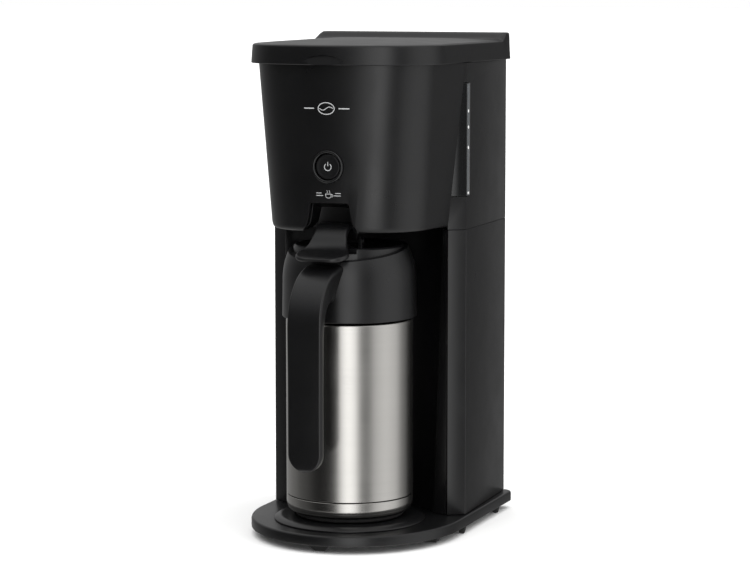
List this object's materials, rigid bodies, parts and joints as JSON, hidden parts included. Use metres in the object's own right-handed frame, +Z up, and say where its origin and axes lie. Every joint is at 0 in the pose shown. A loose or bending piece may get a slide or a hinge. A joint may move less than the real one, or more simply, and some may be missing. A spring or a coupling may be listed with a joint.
{
  "type": "drip coffee maker",
  "caption": "Slim drip coffee maker with a hinged top lid, a start button, a corner water gauge and a stainless vacuum jug that slides out of its bay.",
  "frame": {"origin": "centre of the outer box in plan, on the surface that the feet stand on", "axes": "+Z up, -Y towards the user and the jug's handle, +X to the machine's right as seen from the front"},
  "size_m": [0.159, 0.2326, 0.3708],
  "materials": {
    "black_abs": "fine matte black moulding",
    "gloss_black": "polished black trim",
    "brushed_steel": "stainless, brushed round the jug",
    "clear_smoke": "smoked clear plastic",
    "clear_tank": "clear plastic",
    "rubber": "black rubber",
    "silicone": "translucent white silicone",
    "aluminium": "die-cast",
    "zinc_steel": "zinc-plated steel",
    "phenolic": "dark moulded insulator"
  },
  "bodies": {
    "machine": {"base_plate": "black_abs", "base_screw_front_left": "zinc_steel", "base_screw_front_right": "zinc_steel", "base_screw_rear_left": "zinc_steel", "base_screw_rear_right": "zinc_steel", "base_tray": "black_abs", "button_bezel": "gloss_black", "button_spring": "zinc_steel", "check_valve": "silicone", "column_front_panel": "black_abs", "cord_gland": "rubber", "filter_basket": "black_abs", "front_foot": "rubber", "front_peg_foot_left": "rubber", "front_peg_foot_right": "rubber", "gauge_window": "clear_smoke", "head_floor": "black_abs", "head_front_shell": "black_abs", "head_rear_shell": "black_abs", "heater_block": "aluminium", "hinge_pin_left": "zinc_steel", "hinge_pin_right": "zinc_steel", "inlet_hose": "silicone", "jug_rest": "black_abs", "lever_recess": "black_abs", "rear_cover": "black_abs", "rear_peg_foot_left": "rubber", "rear_peg_foot_right": "rubber", "riser_hose": "silicone", "shower_plate": "black_abs", "side_panel_left": "black_abs", "side_panel_right": "black_abs", "switch_box": "phenolic", "terminal_block": "phenolic", "thermal_fuse": "zinc_steel", "thermostat": "phenolic", "valve_cage": "black_abs", "valve_spring": "zinc_steel", "water_spout": "black_abs", "water_tank": "clear_tank", "wide_foot_left": "rubber", "wide_foot_right": "rubber"},
    "lid": {"lid": "black_abs"},
    "jug": {"jug_vessel": "brushed_steel", "jug_base_cap": "brushed_steel", "jug_base_pad": "rubber", "jug_collar": "black_abs", "jug_handle": "black_abs", "jug_lid": "black_abs", "jug_gasket": "silicone", "lever_pin": "zinc_steel"},
    "thumb_lever": {"thumb_lever": "black_abs"},
    "pour_valve": {"pour_valve": "silicone"},
    "power_button": {"power_button": "black_abs"},
    "drip_valve": {"drip_valve": "silicone"}
  },
  "joints": [
    {"name": "lid_hinge", "type": "hinge", "parent": "machine", "child": "lid", "pos_m": [0, 0.1109, 0.3536], "axis": [-1, 0, 0], "range_deg": [0, 85]},
    {"name": "jug_slide", "type": "slide", "parent": "machine", "child": "jug", "axis": [0, -1, 0], "range_m": [0, 0.2]},
    {"name": "power_button_press", "type": "slide", "parent": "machine", "child": "power_button", "axis": [0, 1, 0], "range_m": [0, 0.002], "stiffness_N_per_m": 350, "springref_m": -0.001, "deforming": ["button_spring"]},
    {"name": "drip_valve_lift", "type": "slide", "parent": "machine", "child": "drip_valve", "axis": [0, 0, 1], "range_m": [0, 0.003], "stiffness_N_per_m": 150, "springref_m": -0.002, "deforming": ["valve_spring"]},
    {"name": "thumb_lever_tilt", "type": "hinge", "parent": "jug", "child": "thumb_lever", "pos_m": [0, -0.0437, 0.222], "axis": [1, 0, 0], "range_deg": [0, 6], "stiffness_Nm_per_rad": 0.6, "springref_deg": -2.86},
    {"name": "pour_valve_drop", "type": "slide", "parent": "jug", "child": "pour_valve", "axis": [0, 0, -1], "range_m": [0, 0.0011]}
  ],
  "couplings": [
    {"joint": "pour_valve_drop", "follows": "thumb_lever_tilt", "m_per_rad": 0.01}
  ]
}
